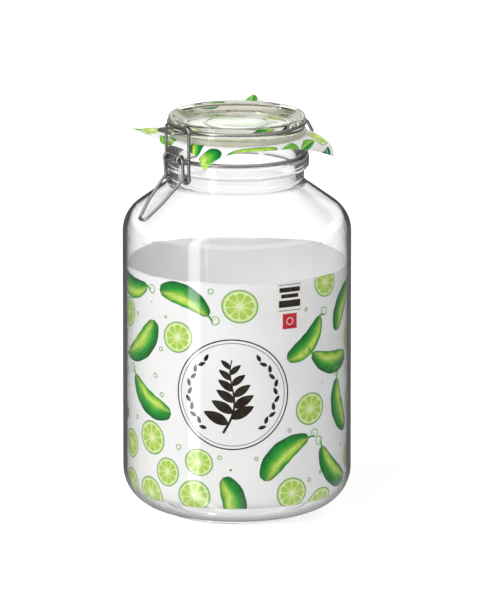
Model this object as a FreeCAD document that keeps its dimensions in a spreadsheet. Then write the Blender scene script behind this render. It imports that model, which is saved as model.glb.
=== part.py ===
"""Clip-top preserving jar: a glass jar and lid held by a bail of bent steel wire,
with a rolled paper inside the wall and a square paper pinched under the lid."""
import FreeCAD, Part
import math
import os
import Sketcher
from FreeCAD import Placement, Rotation, Vector

doc = FreeCAD.newDocument("clip_top_jar")

# ---------------------------------------------------------------------------
# Driving dimensions, in millimetres and degrees
# ---------------------------------------------------------------------------
SIZES = [
    # jar glass
    ("body_radius", 87.0), ("wall", 3.0), ("heel_radius", 30.0),
    ("shoulder_radius", 25.0), ("shoulder_slope", 36.0), ("neck_straight", 7.0),
    ("foot_step", 2.0), ("foot_height", 3.2),
    ("foot_width", 4.5), ("punt_rise", 3.0), ("base_thickness", 4.6),
    ("neck_radius", 51.5), ("neck_wall", 6.5), ("neck_fillet", 6.0), ("throat_inset", 0.5),
    ("rim_top", 292.5), ("rim_round", 2.0),
    ("collar_reach", 3.3), ("collar_height", 11.0), ("collar_below_rim", 15.5),
    ("collar_round", 2.4),
    # lid glass and gasket
    ("lid_overhang", 0.5), ("lid_height", 11.0), ("lid_rim_round", 1.7), ("lid_lip_inset", 0.5),
    ("lid_groove_depth", 1.3), ("lid_groove_below_top", 5.2), ("lid_boss_depth", 2.0),
    ("lid_boss_gap", 3.5), ("lid_rim_width", 4.0), ("dish_slope_width", 9.5),
    ("dish_depth", 6.5), ("dish_round", 3.0), ("dish_ring_inset", 14.5),
    ("dish_ring_height", 0.7),
    ("gasket_overhang", 0.3), ("gasket_width", 8.3), ("gasket_thickness", 3.2),
    # wires
    ("wire_radius", 1.2), ("fit_gap", 0.3), ("eye_gap", 0.4), ("side_gap", 0.6), ("eye_swell", 1.04),
    ("eye_turn", 325.0), ("clamp_turn", 38.0), ("pin_past_eye", 0.5),
    ("hinge_standoff", 11.0), ("neck_eye_side", 8.0), ("hinge_side_gap", 2.6),
    ("hinge_knee_back", 4.4), ("hinge_knee_down", 6.0), ("hinge_bend", 6.0),
    ("crank_tuck", 1.8), ("crank_back", 3.8), ("crank_down", 15.5),
    ("lever_length", 43.9), ("lever_clearance", 8.7), ("lever_waist", 8.4),
    ("lever_waist_share", 0.6), ("lever_waist_bend", 30.0),
    ("lever_tip_side", 3.4), ("lever_tip_bend", 2.7), ("loop_bend", 3.4),
    ("nose_side_gap", 1.0), ("nose_past_loop", 11.5), ("nose_rise", 0.8), ("nose_bend", 4.0),
    ("hook_gap", 0.8),
    # papers
    ("paper", 0.3), ("sleeve_gap", 0.3), ("sleeve_below_wall_top", 22.0), ("sleeve_foot", 19.0),
    ("sheet_margin", 8.5), ("sheet_shift_x", 0.0), ("sheet_shift_y", 6.0),
    ("sheet_turn", 36.0), ("sheet_fold_out", 1.0), ("sheet_bend_length", 5.0),
]

# Dimensions that follow from the driving ones
FOLLOWING = [
    ("collar_top", "rim_top - collar_below_rim"),
    ("collar_bottom", "collar_top - collar_height"),
    ("throat_radius", "neck_radius - throat_inset"),
    # the wall's top comes out below the collar by the neck, its fillet, the sloping shoulder
    # and the shoulder's round
    ("wall_top", "collar_bottom - neck_straight + ((throat_radius + neck_fillet - body_radius"
                 " + shoulder_radius) * sin(shoulder_slope) - neck_fillet - shoulder_radius)"
                 " / cos(shoulder_slope)"),
    ("foot_radius", "body_radius - heel_radius - foot_step"),
    ("mouth_radius", "neck_radius - neck_wall"),
    ("collar_radius", "neck_radius + collar_reach"),
    ("lid_radius", "neck_radius + lid_overhang"),
    ("lid_lip_radius", "lid_radius - lid_lip_inset"),
    ("dish_radius", "lid_radius - lid_rim_width"),
    ("dish_floor_radius", "dish_radius - dish_slope_width"),
    ("dish_ring_radius", "dish_floor_radius - dish_ring_inset"),
    ("gasket_radius", "lid_radius + gasket_overhang"),
    ("eye_radius", "wire_radius * 2 + eye_gap"),
    ("pin_bend", "wire_radius * 1.5"),
    ("pin_overlap", "wire_radius + pin_past_eye"),
    ("lever_eye_side", "neck_eye_side + wire_radius * 2 + side_gap"),
    ("loop_side", "lever_eye_side + wire_radius * 2 + side_gap"),
    ("nose_side", "loop_side - wire_radius * 2 - nose_side_gap"),
    ("hinge_side", "neck_eye_side + wire_radius * 2 + hinge_side_gap"),
    ("hinge_reach", "neck_radius + hinge_standoff"),
    ("crank_reach", "collar_radius + eye_radius + wire_radius - crank_tuck"),
    ("pivot_reach", "crank_reach + crank_back"),
    ("nose_reach", "crank_reach + nose_past_loop"),
    ("sleeve_top", "wall_top - sleeve_below_wall_top"),
    ("sheet_side", "(neck_radius + sheet_margin) * 2"),
]

sheet = doc.addObject("Spreadsheet::Sheet", "dim")
cells = [(alias, str(size)) for alias, size in SIZES]
cells += [(alias, f"={formula}") for alias, formula in FOLLOWING]
for row, (alias, content) in enumerate(cells, start=1):
    sheet.set(f"A{row}", alias)
    sheet.set(f"B{row}", content)
    sheet.setAlias(f"B{row}", alias)
doc.recompute()


def size_of(expression):
    """The present value of an expression over the sheet's aliases."""
    return float(sheet.evalExpression(expression))


# Heights that several pieces share, as expressions over the sheet
WIRE = "dim.wire_radius"
NECK_WIRE_Z = "(dim.collar_top + dim.wire_radius + dim.fit_gap / 3)"
EYE_Z = f"({NECK_WIRE_Z} + dim.eye_radius)"
GASKET_Z = "(dim.rim_top + dim.paper)"
LID_Z = f"({GASKET_Z} + dim.gasket_thickness)"
LID_TOP_Z = f"({LID_Z} + dim.lid_height)"
LID_WIRE_Z = f"({LID_TOP_Z} - dim.lid_groove_below_top)"
LID_WIRE_RADIUS = "(dim.lid_radius - dim.lid_groove_depth + dim.wire_radius + dim.fit_gap / 3)"
CRANK_Z = f"({EYE_Z} - dim.crank_down)"


# ---------------------------------------------------------------------------
# Ways of making shapes
# ---------------------------------------------------------------------------
def origin_plane(body, role):
    return next(f for f in body.Origin.OriginFeatures if f.Role == role)


def pin_to_sheet(sketch, kind, name, *places_and_expression):
    """Add one dimension to the sketch and bind it to an expression over the sheet."""
    *places, expression = places_and_expression
    number = sketch.addConstraint(Sketcher.Constraint(kind, *places, sketch.evalExpression(expression)))
    sketch.renameConstraint(number, name)
    sketch.setExpression(f"Constraints.{name}", expression)


def outline(sketch, corners):
    """Draw a closed outline. Each corner is (x, y) or (x, y, radius, side): with a radius, an arc
    runs from it to the next corner, its centre to the left (1) or the right (-1) of the way."""
    points = [Vector(sketch.evalExpression(c[0]), sketch.evalExpression(c[1]), 0) for c in corners]
    for number, corner in enumerate(corners):
        start = points[number]
        end = points[(number + 1) % len(points)]
        if len(corner) == 2:
            sketch.addGeometry(Part.LineSegment(start, end))
            continue
        radius = sketch.evalExpression(corner[2])
        side = corner[3]
        half = (end - start) / 2
        away = Vector(-half.y, half.x, 0).normalize() * math.sqrt(radius ** 2 - half.Length ** 2)
        centre = start + half + away * side
        middle = centre + (start + half - centre).normalize() * radius
        sketch.addGeometry(Part.Arc(start, middle, end))
    for number, corner in enumerate(corners):
        # an arc is stored counter-clockwise, so one with its centre on the right runs backwards
        backwards = len(corner) == 4 and corner[3] == -1
        following = (number + 1) % len(corners)
        next_backwards = len(corners[following]) == 4 and corners[following][3] == -1
        end_place = 1 if backwards else 2
        start_place = 2 if next_backwards else 1
        sketch.addConstraint(Sketcher.Constraint("Coincident", number, end_place, following, start_place))
    for number, corner in enumerate(corners):
        backwards = len(corner) == 4 and corner[3] == -1
        place = 2 if backwards else 1
        pin_to_sheet(sketch, "DistanceX", f"across_{number}", -1, 1, number, place, corner[0])
        pin_to_sheet(sketch, "DistanceY", f"up_{number}", -1, 1, number, place, corner[1])
        if len(corner) == 4:
            pin_to_sheet(sketch, "Radius", f"round_{number}", number, corner[2])


def turned_body(label, corners):
    """A body turned about the upright axis from an outline of (radius, height) corners."""
    body = doc.addObject("PartDesign::Body", label)
    body.Label = label
    sketch = body.newObject("Sketcher::SketchObject", f"{label}_outline")
    sketch.AttachmentSupport = [(origin_plane(body, "XZ_Plane"), "")]
    sketch.MapMode = "FlatFace"
    outline(sketch, corners)
    doc.recompute()
    turn = body.newObject("PartDesign::Revolution", f"{label}_turn")
    turn.Profile = sketch
    turn.ReferenceAxis = (sketch, ["V_Axis"])
    turn.Angle = 360
    body.Tip = turn
    return body


def rounded_path(points, bends):
    """Straight runs through the points, joined by tangent arcs of the given radii."""
    edges = []
    here = points[0]
    for number, radius in enumerate(bends, start=1):
        corner = points[number]
        back = (points[number - 1] - corner).normalize()
        ahead = (points[number + 1] - corner).normalize()
        half_turn = (math.pi - back.getAngle(ahead)) / 2
        cut = radius * math.tan(half_turn)
        start = corner + back * cut
        end = corner + ahead * cut
        inward = (back + ahead).normalize()
        middle = corner + inward * (radius / math.cos(half_turn) - radius)
        edges.append(Part.LineSegment(here, start).toShape())
        edges.append(Part.Arc(start, middle, end).toShape())
        here = end
    edges.append(Part.LineSegment(here, points[-1]).toShape())
    return Part.Wire(edges)


def bent_wire(points, bends):
    """A round wire swept along straight runs and bends."""
    path = rounded_path(points, bends)
    ahead = (points[1] - points[0]).normalize()
    section = Part.Wire(Part.makeCircle(size_of(WIRE), points[0], ahead))
    return path.makePipeShell([section], True, False)


def eye(centre):
    """A closed wire eye around an axis along Y, a hair thicker than the wires that join it."""
    return Part.makeTorus(size_of("eye_radius"), size_of("wire_radius * eye_swell"),
                          centre, Vector(0, 1, 0))


def curled_ear(root, tangent_point):
    """A wire that runs level from its root and curls up and back into a nearly closed eye."""
    radius = size_of("eye_radius")
    ahead = (tangent_point - root).normalize()
    up = Vector(0, 0, 1)
    centre = tangent_point + up * radius

    def on_eye(turn):
        return centre + (ahead * math.sin(turn) - up * math.cos(turn)) * radius

    full = math.radians(size_of("eye_turn"))
    curl = Part.Arc(tangent_point, on_eye(full / 2), on_eye(full)).toShape()
    path = Part.Wire([Part.LineSegment(root, tangent_point).toShape(), curl])
    section = Part.Wire(Part.makeCircle(size_of(WIRE), root, ahead))
    return path.makePipeShell([section], True, False)


def turned_to_clamp(feature):
    """Turn a wire piece so that its clamp side faces the jar's front left."""
    feature.Placement = Placement(Vector(), Rotation(Vector(0, 0, 1), size_of("clamp_turn")))
    feature.setExpression("Placement.Rotation.Angle", "dim.clamp_turn")


def wire_piece(label, solids):
    """One welded or bent piece of wire, as a single solid turned to the clamp's direction."""
    feature = doc.addObject("Part::Feature", label)
    feature.Label = label
    feature.Shape = solids[0].fuse(solids[1:]).removeSplitter() if len(solids) > 1 else solids[0]
    turned_to_clamp(feature)
    return feature


# ---------------------------------------------------------------------------
# Jar glass: foot, rounded heel, straight wall, shoulder, neck with a collar
# ---------------------------------------------------------------------------
def make_jar_glass():
    bend_r = "(dim.body_radius - dim.shoulder_radius)"
    lean = "sin(dim.shoulder_slope)"
    level = "cos(dim.shoulder_slope)"
    # how far out the outer and inner slopes lie, square to themselves
    slope_out = f"({bend_r} * {lean} + dim.wall_top * {level} + dim.shoulder_radius)"
    slope_in = f"({slope_out} - dim.wall)"
    inner_arc = "(dim.shoulder_radius - dim.wall)"

    def fillet_height(neck, slope):
        return f"(({slope} + dim.neck_fillet - ({neck} + dim.neck_fillet) * {lean}) / {level})"

    fillet_z = fillet_height("dim.throat_radius", slope_out)
    inner_fillet_z = fillet_height("dim.mouth_radius", slope_in)
    heel_r = "(dim.body_radius - dim.heel_radius)"
    floor_z = "(dim.foot_height + dim.wall)"
    heel_z = "(dim.foot_height + dim.heel_radius)"
    foot_inner = "(dim.foot_radius - dim.foot_width)"
    step_z = f"({floor_z} - dim.base_thickness)"
    collar_low = "(dim.collar_radius - dim.throat_radius)"
    return turned_body("jar_glass", [
        ("0", f"{step_z} + dim.punt_rise",
         f"({foot_inner}^2 + dim.punt_rise^2) / (2 * dim.punt_rise)", -1),
        (foot_inner, step_z),
        (foot_inner, "0"),
        ("dim.foot_radius", "0"),
        ("dim.foot_radius", "dim.foot_height"),
        (heel_r, "dim.foot_height", "dim.heel_radius", 1),
        ("dim.body_radius", heel_z),
        ("dim.body_radius", "dim.wall_top", "dim.shoulder_radius", 1),
        (f"{bend_r} + dim.shoulder_radius * {lean}",
         f"dim.wall_top + dim.shoulder_radius * {level}"),
        (f"dim.throat_radius + dim.neck_fillet * (1 - {lean})",
         f"{fillet_z} - dim.neck_fillet * {level}", "dim.neck_fillet", -1),
        ("dim.throat_radius", fillet_z),
        ("dim.throat_radius", "dim.collar_bottom", collar_low, 1),
        ("dim.collar_radius", f"dim.collar_bottom + {collar_low}"),
        ("dim.collar_radius", "dim.collar_top - dim.collar_round", "dim.collar_round", 1),
        ("dim.collar_radius - dim.collar_round", "dim.collar_top"),
        ("dim.neck_radius", "dim.collar_top"),
        ("dim.neck_radius", "dim.rim_top - dim.rim_round", "dim.rim_round", 1),
        ("dim.neck_radius - dim.rim_round", "dim.rim_top"),
        ("dim.mouth_radius + dim.rim_round", "dim.rim_top", "dim.rim_round", 1),
        ("dim.mouth_radius", "dim.rim_top - dim.rim_round"),
        ("dim.mouth_radius", inner_fillet_z, "dim.neck_fillet", 1),
        (f"dim.mouth_radius + dim.neck_fillet * (1 - {lean})",
         f"{inner_fillet_z} - dim.neck_fillet * {level}"),
        (f"{bend_r} + {inner_arc} * {lean}", f"dim.wall_top + {inner_arc} * {level}",
         inner_arc, -1),
        ("dim.body_radius - dim.wall", "dim.wall_top"),
        ("dim.body_radius - dim.wall", heel_z, "dim.heel_radius - dim.wall", -1),
        (heel_r, floor_z, f"({heel_r}^2 + dim.punt_rise^2) / (2 * dim.punt_rise)", 1),
        ("0", f"{floor_z} + dim.punt_rise"),
    ])


# ---------------------------------------------------------------------------
# Lid glass: a thick rim with a wire groove, a dish on top and a boss below
# ---------------------------------------------------------------------------
def make_lid_glass():
    groove_r = "(dim.lid_radius - dim.lid_groove_depth)"
    groove_half = "(dim.wire_radius + dim.fit_gap / 3)"
    floor_z = f"({LID_TOP_Z} - dim.dish_depth)"
    boss_r = "(dim.mouth_radius - dim.lid_boss_gap)"
    rim_in = "(dim.dish_radius + dim.lid_rim_round)"
    slope_top_z = f"({LID_TOP_Z} - dim.lid_rim_round / 2)"
    return turned_body("lid_glass", [
        ("0", f"{LID_Z} - dim.lid_boss_depth"),
        (boss_r, f"{LID_Z} - dim.lid_boss_depth"),
        (boss_r, LID_Z),
        ("dim.lid_lip_radius - dim.lid_rim_round / 2", LID_Z, "dim.lid_rim_round / 2", 1),
        ("dim.lid_lip_radius", f"{LID_Z} + dim.lid_rim_round / 2"),
        ("dim.lid_lip_radius", f"{LID_WIRE_Z} - {groove_half}"),
        (groove_r, f"{LID_WIRE_Z} - {groove_half}"),
        (groove_r, f"{LID_WIRE_Z} + {groove_half}"),
        ("dim.lid_radius", f"{LID_WIRE_Z} + {groove_half}"),
        ("dim.lid_radius", f"{LID_TOP_Z} - dim.lid_rim_round", "dim.lid_rim_round", 1),
        ("dim.lid_radius - dim.lid_rim_round", LID_TOP_Z),
        (rim_in, LID_TOP_Z, "dim.lid_rim_round * 2", 1),
        ("dim.dish_radius", slope_top_z),
        ("dim.dish_floor_radius + dim.dish_round", f"{floor_z} + dim.dish_round / 3",
         "dim.dish_round * 2", -1),
        ("dim.dish_floor_radius", floor_z),
        ("dim.dish_ring_radius + dim.dish_ring_height * 2", floor_z,
         "dim.dish_ring_height * 3", 1),
        ("dim.dish_ring_radius - dim.dish_ring_height * 2", floor_z),
        ("0", floor_z),
    ])


def make_gasket():
    return turned_body("gasket", [
        ("dim.gasket_radius - dim.gasket_width", GASKET_Z),
        ("dim.gasket_radius", GASKET_Z),
        ("dim.gasket_radius", LID_Z),
        ("dim.gasket_radius - dim.gasket_width", LID_Z),
    ])


# ---------------------------------------------------------------------------
# Wires. They are modelled with the clamp toward -X and the hinge toward +X.
# ---------------------------------------------------------------------------
def make_neck_wire():
    """The ring that lies on the collar, with two eyes for the lever and two for the hinge."""
    ring_radius = size_of("neck_radius + wire_radius + fit_gap")
    ring_z = size_of(NECK_WIRE_Z)
    side = size_of("neck_eye_side")
    root = math.sqrt(ring_radius ** 2 - side ** 2)
    solids = [Part.makeTorus(ring_radius, size_of(WIRE), Vector(0, 0, ring_z), Vector(0, 0, 1))]
    for reach in (-size_of("pivot_reach"), size_of("hinge_reach")):
        for y in (-side, side):
            start = Vector(math.copysign(root, reach), y, ring_z)
            solids.append(curled_ear(start, Vector(reach, y, ring_z)))
    return wire_piece("neck_wire", solids)


def make_lid_wire():
    """The ring in the lid's groove, with the flat nose at the front and the hinge bow behind."""
    ring_radius = size_of(LID_WIRE_RADIUS)
    ring_z = size_of(LID_WIRE_Z)
    nose_side = size_of("nose_side")
    nose_x = -size_of("nose_reach")
    nose_z = ring_z + size_of("nose_rise")
    nose_root = -math.sqrt(ring_radius ** 2 - nose_side ** 2)
    nose = bent_wire([
        Vector(nose_root, -nose_side, ring_z),
        Vector(nose_x, -nose_side, nose_z),
        Vector(nose_x, nose_side, nose_z),
        Vector(nose_root, nose_side, ring_z),
    ], [size_of("nose_bend")] * 2)
    hinge_side = size_of("hinge_side")
    hinge_x = size_of("hinge_reach")
    hinge_root = math.sqrt(ring_radius ** 2 - hinge_side ** 2)
    knee_x = hinge_x - size_of("hinge_knee_back")
    knee_z = ring_z - size_of("hinge_knee_down")
    hinge_z = size_of(EYE_Z)
    shin_z = (knee_z + hinge_z) / 2
    bend = size_of("hinge_bend")
    pin_bend = size_of("pin_bend")
    half_bow = [
        Vector(hinge_root, hinge_side, ring_z),
        Vector(knee_x, hinge_side, knee_z),
        Vector(hinge_x, hinge_side, shin_z),
        Vector(hinge_x, hinge_side, hinge_z),
    ]
    other_half = [Vector(p.x, -p.y, p.z) for p in reversed(half_bow)]
    bow = bent_wire(half_bow + other_half, [bend, bend / 2, pin_bend, pin_bend, bend / 2, bend])
    ring = Part.makeTorus(ring_radius, size_of(WIRE), Vector(0, 0, ring_z), Vector(0, 0, 1))
    return wire_piece("lid_wire", [ring, nose, bow])


def make_lever():
    """The handle: two cranks that hang on the neck wire's eyes, an eye on each for the loop,
    and two legs that run out over the shoulder to a narrow rounded tip."""
    pivot = Vector(-size_of("pivot_reach"), 0, size_of(EYE_Z))
    crank = Vector(-size_of("crank_reach"), 0, size_of(CRANK_Z))
    eye_radius = size_of("eye_radius")
    eye_side = size_of("lever_eye_side")
    pin_end = size_of("neck_eye_side - pin_overlap")
    # the legs run down at the tilt that keeps them just clear of the shoulder's round
    shoulder = Vector(-size_of("body_radius - shoulder_radius"), 0, size_of("wall_top"))
    rise = crank - shoulder
    standing = size_of("shoulder_radius + wire_radius + lever_clearance - eye_radius")
    tilt = math.atan2(-rise.x, rise.z) + math.acos(min(standing / rise.Length, 1.0))
    along = Vector(-math.cos(tilt), 0, -math.sin(tilt)) * size_of("lever_length")
    upper = Vector(along.z, 0, -along.x).normalize() * eye_radius
    waist = size_of("lever_waist")
    tip_side = size_of("lever_tip_side")
    tip = crank + along + upper
    half_legs = [
        crank + upper + Vector(0, eye_side, 0),
        crank + along * size_of("lever_waist_share") + upper + Vector(0, waist, 0),
        tip + Vector(0, tip_side, 0),
    ]
    other_half = [Vector(p.x, -p.y, p.z) for p in reversed(half_legs)]
    waist_bend = size_of("lever_waist_bend")
    tip_bend = size_of("lever_tip_bend")
    solids = [bent_wire(half_legs + other_half, [waist_bend, tip_bend, tip_bend, waist_bend])]
    # each crank leaves its pin and runs down to the outer side of its eye
    for side in (-1, 1):
        pin_point = pivot + Vector(0, side * pin_end, 0)
        elbow = pivot + Vector(0, side * eye_side, 0)
        eye_centre = crank + Vector(0, side * eye_side, 0)
        eye_point = eye_centre + Vector(-eye_radius, 0, 0)
        solids.append(bent_wire([pin_point, elbow, eye_point], [size_of("pin_bend")]))
        solids.append(eye(eye_centre))
    return wire_piece("lever", solids)


def make_clamp_loop():
    """The upright bow that hooks over the nose, its two ends turned into the lever's eyes."""
    x = -size_of("crank_reach")
    side = size_of("loop_side")
    low_z = size_of(CRANK_Z)
    ring_radius = size_of(LID_WIRE_RADIUS)
    way_along_nose = (-x - ring_radius) / (size_of("nose_reach") - ring_radius)
    nose_z = size_of(LID_WIRE_Z) + size_of("nose_rise") * way_along_nose
    high_z = nose_z + 2 * size_of(WIRE) + size_of("hook_gap")
    pin_end = size_of("lever_eye_side - pin_overlap")
    path = [
        Vector(x, pin_end, low_z),
        Vector(x, side, low_z),
        Vector(x, side, high_z),
        Vector(x, -side, high_z),
        Vector(x, -side, low_z),
        Vector(x, -pin_end, low_z),
    ]
    pin_bend = size_of("pin_bend")
    loop_bend = size_of("loop_bend")
    return wire_piece("clamp_loop", [bent_wire(path, [pin_bend, loop_bend, loop_bend, pin_bend])])


# ---------------------------------------------------------------------------
# Papers: one rolled inside the wall, one laid over the mouth under the gasket
# ---------------------------------------------------------------------------
def make_paper_sleeve():
    """The rolled paper: straight up the wall, its foot following the heel inward."""
    outer_r = "(dim.body_radius - dim.wall - dim.sleeve_gap)"
    inner_r = f"({outer_r} - dim.paper)"
    heel_r = "(dim.body_radius - dim.heel_radius)"
    heel_z = "(dim.foot_height + dim.heel_radius)"
    outer_bend = f"({outer_r} - {heel_r})"
    inner_bend = f"({inner_r} - {heel_r})"
    drop = f"({heel_z} - dim.sleeve_foot)"
    return turned_body("paper_sleeve", [
        (f"{heel_r} + sqrt({outer_bend}^2 - {drop}^2)", "dim.sleeve_foot", outer_bend, 1),
        (outer_r, heel_z),
        (outer_r, "dim.sleeve_top"),
        (inner_r, "dim.sleeve_top"),
        (inner_r, heel_z, inner_bend, -1),
        (f"{heel_r} + sqrt({inner_bend}^2 - {drop}^2)", "dim.sleeve_foot"),
    ])


# How the square paper hangs past the rim, going round the jar by azimuth: the slope it
# settles to below level, the further slope gained by its edge, the sideways lean of its edge,
# and the length of edge that is creased back under itself (or pulled out, where negative).
DRAPE = [
    # azimuth, slope, curl, lean, tuck
    (358.0, 14.0, 54.0, 0.0, 0.8),
    (38.0, 76.0, 0.0, 0.0, 4.5),
    (81.0, -16.0, 0.0, 0.0, -1.0),
    (128.0, 62.0, 0.0, 0.0, 0.0),
    (170.0, -1.0, 6.0, 0.0, 2.0),
    (187.0, 6.0, 4.0, 0.0, 0.0),
    (203.0, 80.0, 0.0, 0.0, -2.0),
    (232.0, 80.0, 0.0, 0.0, -2.0),
    (261.0, 74.0, 4.0, -15.0, 6.0),
    (308.0, 70.0, 6.0, -3.0, 1.0),
]


def drape_at(azimuth):
    """Slope, curl, lean and tuck at an azimuth, eased between the rows around it."""
    for number, row in enumerate(DRAPE):
        following = DRAPE[(number + 1) % len(DRAPE)]
        span = (following[0] - row[0]) % 360
        way = (azimuth - row[0]) % 360
        if way < span:
            ease = (1 - math.cos(math.pi * way / span)) / 2
            return [a + (b - a) * ease for a, b in zip(row[1:], following[1:])]


def sheet_reach(azimuth):
    """How far the flat square reaches from the jar's axis at an azimuth."""
    half = size_of("sheet_side") / 2
    shift = Vector(size_of("sheet_shift_x"), size_of("sheet_shift_y"), 0)
    way = Vector(math.cos(math.radians(azimuth)), math.sin(math.radians(azimuth)), 0)
    reaches = []
    for quarter in range(4):
        turn = math.radians(size_of("sheet_turn") + 90 * quarter)
        normal = Vector(math.cos(turn), math.sin(turn), 0)
        if normal.dot(way) > 1e-6:
            reaches.append((half + normal.dot(shift)) / normal.dot(way))
    return min(reaches)


def sheet_line(azimuth, steps):
    """Middle-surface points of the sheet at an azimuth, from the fold outward, each with the
    sheet's normal there. The slope is summed in finer strides than the points are apart."""
    slope, curl, lean, tuck = drape_at(azimuth)
    fold = size_of("neck_radius + sheet_fold_out")
    length = max(sheet_reach(azimuth) - fold - tuck, 1.0)
    bend_length = size_of("sheet_bend_length")
    radius = fold
    z = size_of("rim_top + paper / 2")
    line = []
    strides_per_step = 6
    stride = length / (steps * strides_per_step)
    for number in range(steps * strides_per_step + 1):
        out_along = number * stride
        ease = min(out_along / bend_length, 1.0)
        angle = math.radians(slope * ease * ease * (3 - 2 * ease) + curl * (out_along / length) ** 1.3)
        if number:
            radius += stride * math.cos(angle)
            z -= stride * math.sin(angle)
        if number % strides_per_step == 0:
            turn = math.radians(azimuth + lean * (out_along / length) ** 1.5)
            out = Vector(math.cos(turn), math.sin(turn), 0)
            normal = out * math.sin(angle) + Vector(0, 0, math.cos(angle))
            line.append((out * radius + Vector(0, 0, z), normal))
    return line


def make_cover_sheet():
    """The square paper, flat over the mouth and hanging past the rim, as a faceted thin solid."""
    around = 72
    steps = 7
    half = size_of("paper") / 2
    azimuths = [360.0 * n / around for n in range(around)]
    lines = [sheet_line(a, steps) for a in azimuths]
    top = [[p + n * half for p, n in line] for line in lines]
    low = [[p - n * half for p, n in line] for line in lines]
    faces = [Part.Face(Part.makePolygon([ring[0] for ring in side] + [side[0][0]])) for side in (top, low)]

    def quad(a, b, c, d):
        faces.append(Part.Face(Part.makePolygon([a, b, c, a])))
        faces.append(Part.Face(Part.makePolygon([a, c, d, a])))

    for number in range(around):
        after = (number + 1) % around
        for step in range(steps):
            quad(top[number][step], top[number][step + 1], top[after][step + 1], top[after][step])
            quad(low[number][step], low[number][step + 1], low[after][step + 1], low[after][step])
        quad(low[number][steps], low[after][steps], top[after][steps], top[number][steps])
    shell = Part.makeShell(faces)
    solid = Part.makeSolid(shell)
    if solid.Volume < 0:
        solid.reverse()
    feature = doc.addObject("Part::Feature", "cover_sheet")
    feature.Label = "cover_sheet"
    feature.Shape = solid
    feature.Placement = Placement()
    return feature


# ---------------------------------------------------------------------------
# Build, check and write
# ---------------------------------------------------------------------------
pieces = [
    make_jar_glass(),
    make_neck_wire(),
    make_paper_sleeve(),
    make_lid_glass(),
    make_lid_wire(),
    make_gasket(),
    make_cover_sheet(),
    make_lever(),
    make_clamp_loop(),
]
doc.recompute()

for item in doc.Objects:
    if "Invalid" in item.State or "Error" in item.State:
        raise RuntimeError(f"{item.Name} failed: {item.State}")
for piece in pieces:
    if piece.Shape.isNull() or not piece.Shape.isValid():
        raise RuntimeError(f"{piece.Label} has no valid shape")

os.makedirs("parts", exist_ok=True)
for piece in pieces:
    piece.Shape.exportStep(f"parts/{piece.Label}.step")
    print(f"{piece.Label}: {len(piece.Shape.Solids)} solid, {piece.Shape.Volume / 1000:.2f} cm3")
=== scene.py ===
"""Clip-top preserving jar: clear glass body and lid, a bail of bent steel wire, a printed
paper rolled inside the wall and a square of the same paper pinched under the lid."""

import math
import random

import bmesh
import bpy
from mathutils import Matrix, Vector, noise


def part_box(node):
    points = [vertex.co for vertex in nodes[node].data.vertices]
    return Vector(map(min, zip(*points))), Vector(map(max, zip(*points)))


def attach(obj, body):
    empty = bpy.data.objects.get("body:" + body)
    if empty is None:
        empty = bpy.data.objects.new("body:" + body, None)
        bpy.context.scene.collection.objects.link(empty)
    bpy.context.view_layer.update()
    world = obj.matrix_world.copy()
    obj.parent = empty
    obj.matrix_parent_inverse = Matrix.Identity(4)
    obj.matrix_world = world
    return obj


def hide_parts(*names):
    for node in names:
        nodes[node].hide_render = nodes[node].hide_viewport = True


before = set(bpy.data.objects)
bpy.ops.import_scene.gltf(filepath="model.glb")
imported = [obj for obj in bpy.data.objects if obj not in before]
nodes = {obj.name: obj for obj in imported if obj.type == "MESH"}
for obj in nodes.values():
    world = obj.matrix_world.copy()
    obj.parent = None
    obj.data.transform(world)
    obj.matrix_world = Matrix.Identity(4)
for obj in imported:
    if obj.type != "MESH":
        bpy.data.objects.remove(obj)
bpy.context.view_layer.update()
scene = bpy.context.scene
MM = 0.001


# ---------------------------------------------------------------------------
# Studio: a white sweep that the jar stands on, a pale room around it, one big soft lamp
# high at the front left and a weaker one behind at the right.
# ---------------------------------------------------------------------------
scene.view_settings.view_transform = "Standard"
scene.cycles.max_bounces = 20
scene.cycles.transmission_bounces = 16
scene.cycles.transparent_max_bounces = 16
scene.cycles.glossy_bounces = 8
scene.cycles.diffuse_bounces = 8
scene.cycles.sample_clamp_indirect = 6.0

# grey by height, from straight down (0) to straight up (1). Straight through the glass: white
# as far up as the sweep goes, then the dim room, then the soft light overhead. In a mirror:
# the pale floor, the dim room and the same light.
SEEN_THROUGH = ((0.0, 1.0), (0.68, 1.0), (0.76, 0.30), (0.84, 0.30), (0.90, 1.0))
MIRRORED = ((0.0, 0.6), (0.30, 0.42), (0.37, 0.15), (0.53, 0.07), (0.58, 1.35),
            (0.67, 1.35), (0.72, 0.14), (0.80, 0.2), (0.88, 1.0))
WHITE = (1, 1, 1, 1)
AMBIENT = 0.55
# the strip of light that shows as a gleam: its bearing from straight behind, the half width
# that is fully lit, the half width where it has faded out, and its strength
GLEAM_BEARING = math.radians(-135.6)
GLEAM_CORE = math.radians(4.0)
GLEAM_REACH = math.radians(8.0)
GLEAM_STRENGTH = 3.3
# a ray with more glossy bounces than this has turned round inside the glass
NO_BOUNCE = 0.5
FLOOR_HALF = 30.0
FLOOR_GREY = 0.90
FLOOR_LIFT = 0.40
JAR_MIDDLE = (0, 0, 0.15)
LAMP_SIZE = 3.0
CAMERA_DISTANCE = 8.0


def feed(tree, source, target):
    """Give a socket another node's output, or a plain value."""
    if isinstance(source, bpy.types.NodeSocket):
        tree.links.new(source, target)
    else:
        target.default_value = source


def add_node(tree, kind, **settings):
    """A node of a kind, with its own settings and, by name or number, its input values."""
    node = tree.nodes.new(kind)
    for key, value in settings.items():
        if key == "inputs":
            for socket, number in value.items():
                node.inputs[socket].default_value = number
        else:
            setattr(node, key, value)
    return node


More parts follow.
